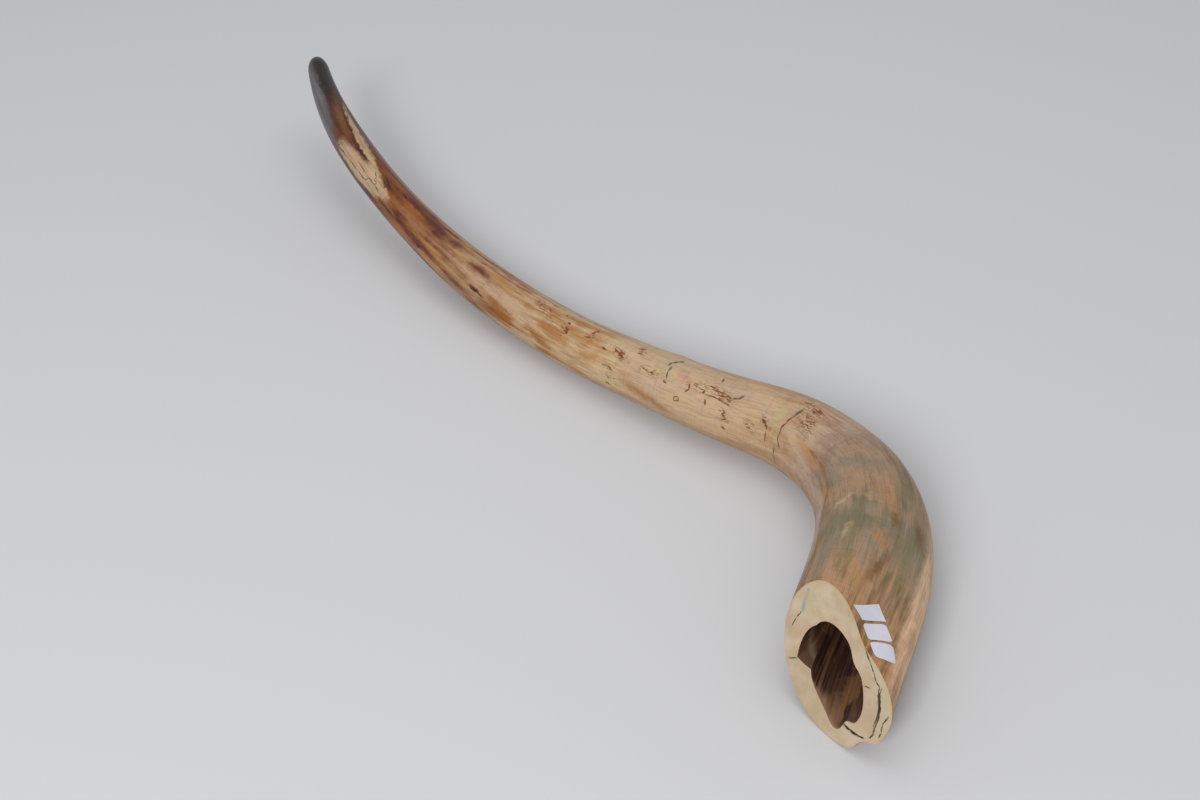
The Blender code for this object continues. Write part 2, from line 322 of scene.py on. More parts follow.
# Fine marks by colour, as runs in the same way.
MARKS = (
    (SCAR, (
        (((411, 79), (414, 86), (418, 95), (418, 103)), 1.3),
        (((415, 105), (415, 116), (414, 128)), 1.0), (((283, 99), (285, 114)), 1.9),
        (((289, 140), (289, 152), (288, 158), (283, 166)), 0.8),
        (((290, 169), (291, 181), (288, 194)), 0.8), (((341, 113), (344, 120), (349, 122)), 1.1),
        (((536, 136), (536, 138)), 0.8),
    )),
    (ETCHED, (
        (((285, 114), (288, 129), (290, 140)), 1.17), (((314, 137), (309, 141), (306, 148)), 1.1),
        (((306, 153), (305, 168)), 0.91), (((371, 129), (363, 130), (356, 132), (349, 136)), 0.78),
        (((367, 119), (357, 119), (350, 125)), 0.78), (((364, 124), (356, 125), (350, 130)), 0.65),
        (((354, 145), (351, 148), (355, 152), (350, 157), (353, 161)), 0.78),
        (((367, 88), (366, 98)), 1.17), (((376, 125), (377, 130)), 1.04),
        (((373, 138), (371, 147)), 1.04), (((391, 123), (390, 131), (392, 138)), 1.04),
        (((401, 154), (397, 152), (396, 159), (400, 161), (401, 154)), 0.65),
        (((352, 172), (349, 177)), 0.91), (((375, 114), (368, 115)), 0.91),
        (((415, 135), (412, 137)), 1.04), (((474, 115), (469, 119), (461, 126)), 1.17),
        (((470, 112), (463, 118)), 0.78), (((453, 89), (448, 88)), 0.91),
        (((452, 103), (447, 104)), 0.91), (((488, 122), (482, 124)), 1.04),
        (((506, 104), (506, 97), (503, 88)), 0.91), (((511, 116), (505, 115)), 0.91),
        (((535, 116), (531, 122), (530, 128)), 1.17), (((473, 152), (468, 157)), 0.91),
        (((474, 186), (470, 189)), 0.91), (((277, 92), (266, 95)), 0.91),
        (((276, 88), (265, 92)), 0.91), (((273, 85), (264, 90)), 0.91),
    )),
    (OCHRE, (
        (((240, 141), (216, 142), (178, 144), (162, 145), (138, 152)), 1.6),
        (((138, 152), (110, 153), (66, 146), (20, 149)), 1.4),
    )),
    (BLACK, (
        (((536, 104), (534, 105)), 1.2), (((535, 69), (536, 71)), 1.0),
        (((545, 88), (544, 89)), 0.8),
        (((1011, 64), (991, 58), (970, 68), (952, 82), (930, 97)), 0.5),
        (((930, 97), (912, 107), (894, 107), (876, 101)), 0.7),
        (((938, 161), (907, 153), (881, 152), (863, 152), (860, 139)), 0.6),
        (((891, 131), (866, 137), (845, 137), (835, 143)), 0.45),
        (((862, 106), (852, 119), (853, 129), (847, 128), (847, 140)), 0.45),
        (((836, 154), (824, 154), (817, 153)), 0.4), (((848, 92), (824, 110)), 0.7),
        (((811, 85), (800, 96)), 0.8), (((1047, 117), (1022, 114)), 0.7),
        (((662, 64), (661, 67)), 1.3), (((668, 92), (660, 86)), 0.6),
    )),
)

# What the gloss adds to a colour, as a linear value, and the limits of a colour.
GLOSS_ADDS = 0.02
DARKEST = 0.003
PALEST = 0.9

# Noise: its scale, one number or one for each axis, detail and roughness.
STREAKS = ((12, 170, 170), 4.0, 0.62)
FINE_GRAIN = ((60, 950, 950), 2.0, 0.6)
BLOTCHES = ((26, 60, 60), 3.0, 0.6)
GRAIN_RINGS = ((620, 40, 40), 2.0)
FLECKS = ((230, 700, 700), 2.0, 0.6)
FACE_CLOUD = (55.0, 4.0, 0.6)
SAW_MARKS = ((700, 120, 160), 2.0)
CAVITY_STREAKS = ((16, 330, 330), 4.0, 0.65)
CAVITY_BLOTCHES = ((40, 60, 60), 3.0)
PAPER_FIBRES = (1400.0, 3.0)
PAPER_CLOUD = (180.0, 2.0)
FLOOR_GRAIN = (900.0, 2.0)
# Noise that shifts edges about, and its reach on each axis in metres.
SKIN_SHIFT = (170.0, 3.0, 0.5)
SOFT_REACH = (0.022, 0.006, 0.0)
FINE_REACH = (0.003, 0.0025, 0.0)
FACE_SHIFT = (350.0, 2.0, 0.5)
FACE_REACH = (0.001, 0.001, 0.001)

# Smooth steps: from, to, and the values at both ends where they aren't 0 and 1.
LIGHT_STEP = (0.39, 0.57)
PATCH_STEP = (0.36, 0.6, 0.55, 1.0)
FLECK_STEP = (0.49, 0.57)
FINE_STEP = (0.46, 0.70, 0.0, 0.28)
RINGS_STEP = (0.50, 0.72, 0.0, 0.13)
TIP_GLOSS = (0.1, 0.8, 0.46, 0.24)
PALE_STEP = (0.35, 0.68)
GROWTH_STEP = (0.2, 1.0, 0.0, 0.10)
RIM_STEP = (0.16, 0.0, 0.0, 0.5)
MOUTH_STEP = (0.84, 1.0, 0.0, 0.35)
WASH_STEP = (0.0, 0.4)
WASH_CLOUD = (0.3, 0.55, 0.5, 1.0)
STREAK_STEP = (0.5, 0.9)
STREAK_CLOUD = (0.36, 0.6, 0.4, 1.0)
FACE_GLOSS = (0.2, 0.8, 0.36, 0.52)
CAVITY_STEP = (0.36, 0.66)
BROWN_STEP = (0.48, 0.66, 0.0, 0.6)
FLOOR_STEP = (0.15, 0.8)
CHIP_LIGHT_STEP = (0.1, 0.3)
CHIP_DARK_STEP = (0.3, 0.5)
CAVITY_GLOSS = (0.2, 0.8, 0.5, 0.75)
SMUDGE_STEP = (0.45, 0.75, 0.0, 0.12)
PAPER_GLOSS = (0.0, 1.0, 0.6, 0.8)
FLOOR_STEP_UP = (0.3, 0.7)
FLOOR_GLOSS = (0.0, 1.0, 0.8, 0.9)

# How much of a colour each covering lays on, and how soft each edge is.
STREAK_SHARE = 0.55
WANDER = 0.1
FLECK_COVER = 0.85
MARK_COVER = 0.9
WASH_COVER = 0.6
STREAK_COVER = 0.85
SPLIT_COVER = 0.95
FLECKED_SOFT = 0.8
MARK_SOFT = 0.5
SPLIT_SOFT = 0.3
# How far a dash reaches past its ends, in half widths, and where its ink is full.
DASH_OVERHANG = 0.8
INK_FULL = 1.5
GROWTH_RINGS = 62.0
GROWTH_WAVER = 14.0
FLOOR_RAGGED = 0.6
CHIP_RAGGED = 0.3
# The skin's gloss. Relief from each material: strength and distance in metres.
SKIN_SPECULAR = 0.3
FINE_HEIGHT = 0.25
FINE_ROUGH = 0.12
SAW_HEIGHT = 0.4
CLOUD_HEIGHT = 0.5
BLOTCH_HEIGHT = 0.6
SKIN_BUMP = (0.4, 0.0006)
FACE_BUMP = (0.25, 0.0004)
CAVITY_BUMP = (0.5, 0.0008)
PAPER_BUMP = (0.15, 0.0001)
FLOOR_BUMP = (0.05, 0.0002)
# How far a crack's dash reaches off the surface, in metres.
FACE_THICK = 0.05
FLOOR_THICK = 0.004

# The camera in the part's frame: place, tilt from straight down, lens and sensor.
CAMERA_PLACE = (39.2, -1137.1, 844.0)
CAMERA_TILT = 52.0
CAMERA_LENS = 45.0
CAMERA_SENSOR = 36.0
CAMERA_NEAR = 0.05

# The square lights: place and side in metres. The sky's colour.
KEY_PLACE = (-0.9, -2.7, 1.9)
KEY_SIZE = 1.1
FILL_PLACE = (0.2, 0.5, 2.8)
FILL_SIZE = 2.6
SKY_COLOUR = (0.98, 0.99, 1.0, 1.0)
FLOOR_DIMMED = 0.985

# Rings and points that the skin's own box is read from.
BOX_ROWS = 400
BOX_COLUMNS = 180


def smooth(x, stations, values):
    """A cubic through the values. Its slope at a station is the mean of the two
    chords that meet there, the shorter one counting more."""
    stations = np.asarray(stations, float)
    values = np.asarray(values, float)
    gap = np.diff(stations)
    chord = np.diff(values) / gap
    slope = np.empty_like(values)
    slope[0] = chord[0]
    slope[-1] = chord[-1]
    slope[1:-1] = (gap[1:] * chord[:-1] + gap[:-1] * chord[1:]) / (gap[1:] + gap[:-1])
    span = np.clip(np.searchsorted(stations, x, side="right") - 1, 0, len(gap) - 1)
    t = (x - stations[span]) / gap[span]
    return (
        (2 * t**3 - 3 * t**2 + 1) * values[span]
        + (t**3 - 2 * t**2 + t) * gap[span] * slope[span]
        + (3 * t**2 - 2 * t**3) * values[span + 1]
        + (t**3 - t**2) * gap[span] * slope[span + 1]
    )


def trace_line():
    """Walks the middle line in equal steps along the heading. It climbs as the
    section's half height and clearance grow."""
    table = np.array(STATIONS, float)
    distance = np.arange(LINE_START, TUSK_LENGTH + LINE_STEP / 2, LINE_STEP)
    heading = np.radians(smooth(distance, table[:, 0], table[:, 1]))
    half_width = smooth(distance, table[:, 0], table[:, 2]) / 2
    half_height = smooth(distance, table[:, 0], table[:, 3]) / 2
    height = half_height + smooth(distance, table[:, 0], table[:, 4])
    climb = np.gradient(height, LINE_STEP)
    level = np.sqrt(1 - climb**2)
    forward = np.stack([np.cos(heading) * level, np.sin(heading) * level, climb], axis=1)
    middle = np.zeros_like(forward)
    middle[1:] = np.cumsum((forward[1:] + forward[:-1]) / 2 * LINE_STEP, axis=0)
    middle -= middle[np.searchsorted(distance, 0.0)]
    middle[:, 2] = height
    side = np.stack([np.sin(heading), -np.cos(heading), np.zeros_like(heading)], axis=1)
    return {
        "distance": distance,
        "middle": middle,
        "forward": forward,
        "side": side,
        "up": np.cross(side, forward),
        "half_width": half_width,
        "half_height": half_height,
    }


LINE = trace_line()


def along_line(name, distance):
    """Reads one column of the middle line, a number or a vector, at any distances."""
    column = LINE[name]
    if column.ndim == 1:
        return np.interp(distance, LINE["distance"], column)
    parts = [np.interp(distance, LINE["distance"], column[:, k]) for k in range(3)]
    return np.stack(parts, axis=-1)


def place(distance, across, up):
    """The point this far across and up from the middle line, in the section there."""
    return (
        along_line("middle", distance)
        + np.asarray(across)[..., None] * along_line("side", distance)
        + np.asarray(up)[..., None] * along_line("up", distance)
    )


def half_turn(angle):
    """The same angle, between half a turn either way."""
    return (angle + np.pi) % (2 * np.pi) - np.pi


def hump(angle, centre, spread):
    """A smooth hump in the angle: 1 at its centre and 0 from half its spread on."""
    away = np.abs(half_turn(angle - np.radians(centre)))
    return np.cos(np.pi / 2 * np.clip(away / np.radians(spread / 2), 0, 1)) ** 2


def cut_plane():
    """A point on the saw cut and the cut's outward normal."""
    normal = (
        -along_line("forward", 0.0)
        - CUT_TURN * along_line("side", 0.0)
        + CUT_LEAN * along_line("up", 0.0)
    )
    return along_line("middle", 0.0), normal / np.linalg.norm(normal)


CUT_POINT, CUT_NORMAL = cut_plane()


def relief(distance, angle):
    """Low ripples, each a sine that winds slowly round the tusk, and a few bell-shaped
    swellings. The ripples fade to nothing at the saw cut and the tip."""
    height = np.zeros(np.broadcast(distance, angle).shape)
    for waves, turns, size, start in RIPPLES:
        height += size * np.sin(waves * angle + 2 * np.pi * turns * distance / 1000 + start)
    height *= np.clip((distance - RIPPLES_IN[0]) / RIPPLES_IN[1], 0, 1)
    height *= np.clip((RIPPLES_OUT[0] - distance) / RIPPLES_OUT[1], 0, 1)
    for where, centre, length, spread, size in SWELLINGS:
        bell = np.exp(-(((distance - where) / length) ** 2))
        height += size * bell * hump(angle, centre, spread)
    return height


def skin(distance, angle, lift=0.0):
    """The outer skin, plus any lift: an oval that closes at the tip like a blunt
    bullet, less its hollow and its nick."""
    to_tip = np.clip((TUSK_LENGTH - distance) / TIP_ROUND, 0, 1)
    closing = (1 - (1 - to_tip) ** TIP_POWER) ** (1 / TIP_POWER)
    fade = np.exp(-((np.clip(distance - SHOULDER_START, 0, None) / SHOULDER_FADE) ** 2))
    hollow = SHOULDER_DEPTH * fade * hump(angle, SHOULDER_ANGLE, SHOULDER_SPREAD)
    width = closing * along_line("half_width", distance)
    height = closing * along_line("half_height", distance)
    smooth_skin = place(distance, width * np.cos(angle), height * np.sin(angle))
    from_cut = np.clip((CUT_POINT - smooth_skin) @ CUT_NORMAL, 0, None)
    nick = NICK_DEPTH * hump(angle, NICK_ANGLE, NICK_SPREAD) * np.exp(-from_cut / NICK_LENGTH)
    inward = hollow + nick - lift
    return place(distance, (width - inward) * np.cos(angle), (height - inward) * np.sin(angle))


def cavity_tube(distance, angle, size=1.0, depth=0.0):
    """A tube of the cavity's outline: a leaning oval scaled by size, opened by its
    chip, its worn floor and the waves of its edge, which fade with depth."""
    lean = angle - np.radians(CAVITY_TILT)
    oval = 1 / np.hypot(np.cos(lean) / CAVITY_LONG, np.sin(lean) / CAVITY_SHORT)
    degrees = np.degrees(angle) % 360
    rising = np.clip((degrees - CHIP_FROM) / (CHIP_PEAK - CHIP_FROM), 0, 1)
    falling = np.clip((CHIP_TO - degrees) / (CHIP_TO - CHIP_PEAK), 0, 1)
    chip_and_highlight = CHIP_REACH * np.minimum(rising, falling) * np.exp(-depth / CHIP_FADE)
    wear_and_light = WORN_REACH * hump(angle, WORN_ANGLE, WORN_SPREAD) * np.exp(-depth / WORN_FADE)
    wave = sum(reach * hump(angle, centre, spread) for centre, spread, reach in MOUTH_WAVES)
    radius = size * (oval + chip_and_highlight + wear_and_light + wave * np.exp(-depth / MOUTH_FADE))
    across = size * CAVITY_ACROSS + radius * np.cos(angle)
    up = size * CAVITY_UP + radius * np.sin(angle)
    return place(distance, across, up)


def cut_distance(tube, angle):
    """How far along the middle line a tube meets the saw cut at each angle, found
    by repeated steps onto the plane."""
    per_step = -CUT_NORMAL @ along_line("forward", 0.0)
    distance = np.zeros_like(angle)
    for _ in range(CUT_TRIES):
        distance = distance + (tube(distance, angle) - CUT_POINT) @ CUT_NORMAL / per_step
    return distance


def on_cut(spots):
    """Points on the saw cut from (across, up) pairs in the section they lie in."""
    across, up = np.array(spots, float).T
    return place(cut_distance(lambda d, a: place(d, across, up), across), across, up)


def nearness(points, run, reach):
    """1 on a run of straight lines, falling evenly to 0 at its reach: one less the
    distance to the nearest line over the reach."""
    nearest = np.full(points.shape[:-1], np.inf)
    for a, b in zip(run[:-1], run[1:]):
        along = np.clip(((points - a) @ (b - a)) / ((b - a) @ (b - a)), 0, 1)[..., None]
        away = np.linalg.norm(points - a - along * (b - a), axis=-1)
        nearest = np.minimum(nearest, away)
    return np.clip(1 - nearest / reach, 0, 1)


def skin_rings(angle, rows, tip_rows, crowding):
    """Rings from the tip to the rim with the low relief on them, and the distance of
    each point. They lie close together at the tip and the rim."""
    rim = cut_distance(skin, angle)
    turn = np.linspace(0, np.pi / 2, tip_rows + 1)[1:, None] + 0 * angle
    blunt = TUSK_LENGTH - TIP_ROUND * (1 - np.cos(turn))
    share = np.linspace(0, 1, rows + 1)[1:, None]
    eased = share + crowding * share * (1 - share)
    start = TUSK_LENGTH - TIP_ROUND
    distance = np.concatenate([blunt, start + (rim - start) * eased])
    return skin(distance, angle, relief(distance, angle)), distance


def face_rings(rim, mouth, rows):
    """Rings on straight lines from rim to mouth. Each crack is sunk along the tusk by
    its depth times the square root of the nearness. Also the share of the wall and how
    stained each point is."""
    share = np.linspace(0, 1, rows + 2)[1:-1, None, None]
    points = rim + (mouth - rim) * share
    sunk = np.zeros(points.shape[:2])
    for spots, half_width, depth in FACE_CRACKS:
        sunk = np.maximum(sunk, depth * np.sqrt(nearness(points, on_cut(spots), half_width)))
    stained = np.zeros(points.shape[:2])
    for spots, reach, strength in FACE_STAINS:
        stained = np.maximum(stained, strength * nearness(points, on_cut(spots), reach))
    points = points + sunk[..., None] * along_line("forward", 0.0)
    return points, share[..., 0] + 0 * sunk, stained


def cavity_rings(angle, rows):
    """Rings from the mouth to the cavity's end, and how deep each point is. The oval's
    size falls as a power of the share of its depth. Low flutes run along it."""
    start = cut_distance(cavity_tube, angle)
    share = (np.linspace(0, 1, rows + 1)[:-1, None]) ** CAVITY_EASE
    size = (1 - share**CAVITY_TAPER) ** (1 / CAVITY_TAPER)
    distance = start + (CAVITY_END - start) * share
    depth = distance - start
    flutes = sum(height * np.sin(waves * angle + distance / turn) for height, waves, turn in FLUTES)
    waved = size * (1 + flutes * np.clip(depth / FLUTE_START, 0, 1) / CAVITY_LONG)
    return cavity_tube(distance, angle, waved, depth), distance, depth


def paper_sheet(corners, rounding, lift, steps):
    """A grid on the skin between four corners: each point's distance and angle are
    blended from theirs. Corners are drawn in where both shares are near their ends."""
    corners = np.array(corners, float)
    u = np.linspace(-1, 1, steps + 1)[None, :]
    v = np.linspace(-1, 1, steps + 1)[:, None]
    draw = 1 - rounding * (u * v) ** PAPER_SQUARENESS
    s = (u * draw + 1)[..., None] / 2
    t = (v * draw + 1)[..., None] / 2
    upper = corners[0] * (1 - s) + corners[1] * s
    lower = corners[3] * (1 - s) + corners[2] * s
    spot = upper * (1 - t) + lower * t
    angle = np.radians(spot[..., 1])
    return skin(spot[..., 0], angle, relief(spot[..., 0], angle) + lift)


def frame_shift():
    """The move in metres from the saw cut's place to the part's frame, and the packed
    tusk's box. The middle of the skin's own box goes to the middle of that box, and
    its foot to the box's foot."""
    angle = np.linspace(0, 2 * np.pi, BOX_COLUMNS, endpoint=False)
    rim = cut_distance(skin, angle)
    share = np.linspace(0, 1, BOX_ROWS)[:, None]
    bare = skin(TUSK_LENGTH + (rim - TUSK_LENGTH) * share, angle).reshape(-1, 3)
    own = np.array([bare.min(axis=0), bare.max(axis=0)]) * MM
    packed = np.array([list(corner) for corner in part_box("tusk")])
    move = packed.mean(axis=0) - own.mean(axis=0)
    move[2] = packed[0, 2] - own[0, 2]
    return move, packed


SHIFT, PACKED = frame_shift()


def to_frame(points):
    """Millimetres about the saw cut to metres in the part's frame, kept inside the
    packed tusk's box."""
    return np.clip(points * MM + SHIFT, PACKED[0], PACKED[1])


def paint(colour, gain):
    """A colour as it looks in the light, out of 255, as the linear value a surface
    needs: raised to suit the light, less what the gloss adds."""
    share = np.array(colour, float) / 255
    linear = np.where(share <= 0.04045, share / 12.92, ((share + 0.055) / 1.055) ** 2.4)
    return (*np.clip(linear * gain - GLOSS_ADDS, DARKEST, PALEST).tolist(), 1.0)


class Finish:
    """A material whose nodes are added one at a time and joined as they are made."""

    def __init__(self, name, gain):
        self.gain = gain
        self.material = bpy.data.materials.new(name)
        self.material.use_nodes = True
        self.tree = self.material.node_tree
        self.shader = self.tree.nodes["Principled BSDF"]

    def add(self, kind, values, **settings):
        """A shader node with its settings, its inputs joined to a socket or set to a value."""
        node = self.tree.nodes.new("ShaderNode" + kind)
        for key, value in settings.items():
            setattr(node, key, value)
        for key, value in values.items():
            if isinstance(value, bpy.types.NodeSocket):
                self.tree.links.new(value, node.inputs[key])
            else:
                node.inputs[key].default_value = value
        return node

    def attribute(self, name, output):
        """A value that the mesh carries."""
        return self.add("Attribute", {}, attribute_name=name).outputs[output]

    def place(self):
        """The object's own coordinates."""
        return self.add("TexCoord", {}).outputs["Object"]

    def work(self, operation, a, b):
        """An operation on two values."""
        return self.add("Math", {0: a, 1: b}, operation=operation).outputs[0]

    plus = partialmethod(work, "ADD")
    minus = partialmethod(work, "SUBTRACT")
    times = partialmethod(work, "MULTIPLY")

    def vector(self, operation, a, b):
        """An operation on two vectors."""
        return self.add("VectorMath", {0: a, 1: b}, operation=operation).outputs[0]

    def noise(self, vector, scale, detail=3.0, roughness=0.55, output="Fac"):
        """Noise between 0 and 1, at one scale or stretched by a scale for each axis."""
        if isinstance(scale, tuple):
            vector = self.vector("MULTIPLY", vector, scale)
            scale = 1.0
        values = {"Vector": vector, "Scale": scale, "Detail": detail, "Roughness": roughness}
        return self.add("TexNoise", values).outputs[output]

    def loose(self, vector, *settings):
        """Noise on three axes, between half a unit either way."""
        return self.vector("SUBTRACT", self.noise(vector, *settings, "Color"), (0.5, 0.5, 0.5))

    def moved(self, vector, loose, reach):
        """Coordinates shifted by loose noise over a reach on each axis."""
        return self.vector("ADD", vector, self.vector("MULTIPLY", loose, reach))

    def band(self, value, low, high, to_low=0.0, to_high=1.0):
        """A smooth step of the value between two limits."""
        values = {1: low, 2: high, 3: to_low, 4: to_high, "Value": value}
        return self.add("MapRange", values, interpolation_type="SMOOTHSTEP").outputs[0]

    def ragged(self, value, noise, share):
        """A value whose level wanders with noise, by a share of it."""
        return self.plus(value, self.times(self.minus(noise, 0.5), share))

    def mix(self, share, a, b):
        """Two colours mixed by a share."""
        return self.add("Mix", {0: share, 6: a, 7: b}, data_type="RGBA").outputs[2]

    def tint(self, colour, cover, shade):
        """A colour covered in part by another shade."""
        return self.mix(cover, colour, paint(shade, self.gain))

    def ramp(self, value, stops):
        """A colour that runs through stops along a value."""
        node = self.add("ValToRGB", {"Fac": value})
        elements = node.color_ramp.elements
        for element, (position, colour) in zip(elements, (stops[0], stops[-1])):
            element.position = position
            element.color = paint(colour, self.gain)
        for position, colour in stops[1:-1]:
            elements.new(position).color = paint(colour, self.gain)
        return node.outputs["Color"]

    def dash(self, vector, start, end, half_width, soft, normal=(0.0, 0.0, 1.0), flat=1.0):
        """An oval from start to end that is 1 in its middle and falls evenly to 0 outside
        its edge. It lies across the normal and is as thick as flat."""
        start = Vector(start)
        end = Vector(end)
        along = (end - start).normalized() if (end - start).length > 0 else Vector((1, 0, 0))
        across = Vector(normal).cross(along).normalized()
        turned = Matrix((along, across, along.cross(across))).transposed().to_euler()
        grown = 1.0 + soft / 2
        half_length = (end - start).length / 2 + DASH_OVERHANG * half_width
        values = {
            "Vector": vector,
            "Location": (start + end) / 2,
            "Rotation": turned,
            "Scale": (grown * half_length, grown * half_width, flat),
        }
        inside = self.add("Mapping", values, vector_type="TEXTURE").outputs[0]
        round_it = self.add("TexGradient", {"Vector": inside}, gradient_type="SPHERICAL")
        return round_it.outputs["Fac"]

    def inked(self, value, soft):
        """A dash as ink: 1 over most of it, with a soft edge."""
        return self.band(value, 0.0, INK_FULL * soft / (1.0 + soft / 2))

    def runs(self, vector, marks, soft, to_point, **shape):
        """Ink along several runs of points, each with its half width."""
        most = None
        for spots, half_width in marks:
            points = [to_point(spot) for spot in spots]
            for start, end in zip(points[:-1], points[1:]):
                value = self.dash(vector, start, end, half_width * MM, soft, **shape)
                most = value if most is None else self.work("MAXIMUM", most, value)
        return self.inked(most, soft)

    def surface(self, colour, roughness, height, bump):
        """Joins the colour, roughness and relief to the shader."""
        values = {"Height": height, "Strength": bump[0], "Distance": bump[1]}
        relief_out = self.add("Bump", values).outputs[0]
        self.tree.links.new(colour, self.shader.inputs["Base Color"])
        self.tree.links.new(roughness, self.shader.inputs["Roughness"])
        self.tree.links.new(relief_out, self.shader.inputs["Normal"])
        return self.material


def unrolled_point(spot):
    """Where a distance and an angle in degrees fall on the unrolled skin, in metres."""
    distance, degrees = spot
    turned = half_turn(np.radians(degrees) - np.pi / 2)
    return (distance * MM, float(turned * along_line("half_width", distance)) * MM, 0.0)


def cut_point(spot):
    """Where a point (across, up) lies on the sawn face, in the part's frame."""
    return Vector(to_frame(on_cut([spot]))[0])


def floor_point(spot):
    """Where an angle and a depth fall on the cavity's wall, in the part's frame."""
    degrees, depth = spot
    angle = np.radians([float(degrees)])
    distance = cut_distance(cavity_tube, angle) + depth
    return Vector(to_frame(cavity_tube(distance, angle, 1.0, max(depth, 0.0)))[0])


def skin_finish(gain):
    """Long grain in two shades that change along the tusk, soft patches, flecks, a fine cross-hatch, and
    dark marks that are slightly sunk. Some patches are painted light: a reflection and a highlight on the
    tip's facet, a reflection along the ridge, and a pale band brightened on the outer side. The tip is
    glossier."""
    f = Finish("tusk_skin", gain)
    f.shader.inputs["Specular IOR Level"].default_value = SKIN_SPECULAR
    grain = f.attribute("grain", "Vector")
    unrolled = f.add("UVMap", {}, uv_map="unrolled").outputs[0]
    streaks = f.noise(grain, *STREAKS)
    fine = f.noise(grain, *FINE_GRAIN)
    blotches = f.noise(grain, *BLOTCHES)
    rings = f.noise(grain, *GRAIN_RINGS)
    along = f.add("SeparateXYZ", {0: grain}).outputs[0]
    share = f.work("DIVIDE", along, TUSK_LENGTH * MM)
    place_along = f.ragged(share, blotches, WANDER)
    shade = f.plus(f.times(streaks, STREAK_SHARE), f.times(blotches, 1 - STREAK_SHARE))
    dark = f.ramp(place_along, DARK_GRAIN)
    light = f.ramp(place_along, LIGHT_GRAIN)
    colour = f.mix(f.band(shade, *LIGHT_STEP), dark, light)
    loose = f.loose(grain, *SKIN_SHIFT)
    soft_place = f.moved(unrolled, loose, SOFT_REACH)
    fine_place = f.moved(unrolled, loose, FINE_REACH)
    patchy = f.band(shade, *PATCH_STEP)
    # Some of these patches paint light: a reflection and a highlight on the tip's facet, a reflection along
    # the ridge, and a brightened outer band.
    for start, end, half_width, soft, patch in PATCHES:
        ends = unrolled_point(start), unrolled_point(end)
        cover = f.inked(f.dash(soft_place, *ends, half_width * MM, soft), soft)
        colour = f.tint(colour, f.times(cover, patchy), patch)
    gathered = f.runs(soft_place, FLECKED, FLECKED_SOFT, unrolled_point)
    fleck = f.times(f.band(f.noise(grain, *FLECKS), *FLECK_STEP), gathered)
    colour = f.tint(colour, f.times(fleck, FLECK_COVER), ETCHED)
    hatch = f.plus(f.band(fine, *FINE_STEP), f.band(rings, *RINGS_STEP))
    colour = f.tint(colour, hatch, HORN)
    sunk = fleck
    for tone, marks in MARKS:
        cover = f.runs(fine_place, marks, MARK_SOFT, unrolled_point)
        colour = f.tint(colour, f.times(cover, MARK_COVER), tone)
        sunk = f.work("MAXIMUM", sunk, cover)
    height = f.minus(f.times(fine, FINE_HEIGHT), sunk)
    rough = f.plus(f.band(share, *TIP_GLOSS), f.times(fine, FINE_ROUGH))
    return f.surface(colour, rough, height, SKIN_BUMP)


def face_finish(gain):
    """Cream ivory with faint growth rings that follow the rim, a thin tan rim, greenish
    stains and dark cracks."""
    f = Finish("sawn_ivory", gain)
    wall = f.attribute("wall", "Fac")
    stained = f.attribute("stain", "Fac")
    place_on = f.place()
    cloud = f.noise(place_on, *FACE_CLOUD)
    saw = f.noise(place_on, *SAW_MARKS)
    wavy = f.plus(f.times(wall, GROWTH_RINGS), f.times(cloud, GROWTH_WAVER))
    ring = f.work("SINE", wavy, 0.0)
    pale = f.band(cloud, *PALE_STEP)
    colour = f.mix(pale, paint(FACE_DULL, gain), paint(FACE_PALE, gain))
    colour = f.tint(colour, f.band(ring, *GROWTH_STEP), FACE_RING)
    colour = f.tint(colour, f.band(wall, *RIM_STEP), FACE_RIM)
    colour = f.tint(colour, f.band(wall, *MOUTH_STEP), FACE_MOUTH)
    wash = f.times(f.band(stained, *WASH_STEP), f.band(cloud, *WASH_CLOUD))
    colour = f.tint(colour, f.times(wash, WASH_COVER), FACE_WASH)
    streak = f.times(f.band(stained, *STREAK_STEP), f.band(cloud, *STREAK_CLOUD))
    colour = f.tint(colour, f.times(streak, STREAK_COVER), FACE_STREAK)
    marks = [(spots, half_width) for spots, half_width, _ in FACE_CRACKS]
    moved = f.moved(place_on, f.loose(place_on, *FACE_SHIFT), FACE_REACH)
    plane = {"normal": CUT_NORMAL, "flat": FACE_THICK}
    cracks = f.runs(moved, marks, SPLIT_SOFT, cut_point, **plane)
    colour = f.tint(colour, f.times(cracks, SPLIT_COVER), FACE_SPLIT)
    rough = f.band(cloud, *FACE_GLOSS)
    relief_on = f.plus(f.times(saw, SAW_HEIGHT), f.times(cloud, CLOUD_HEIGHT))
    height = f.minus(relief_on, cracks)
    return f.surface(colour, rough, height, FACE_BUMP)


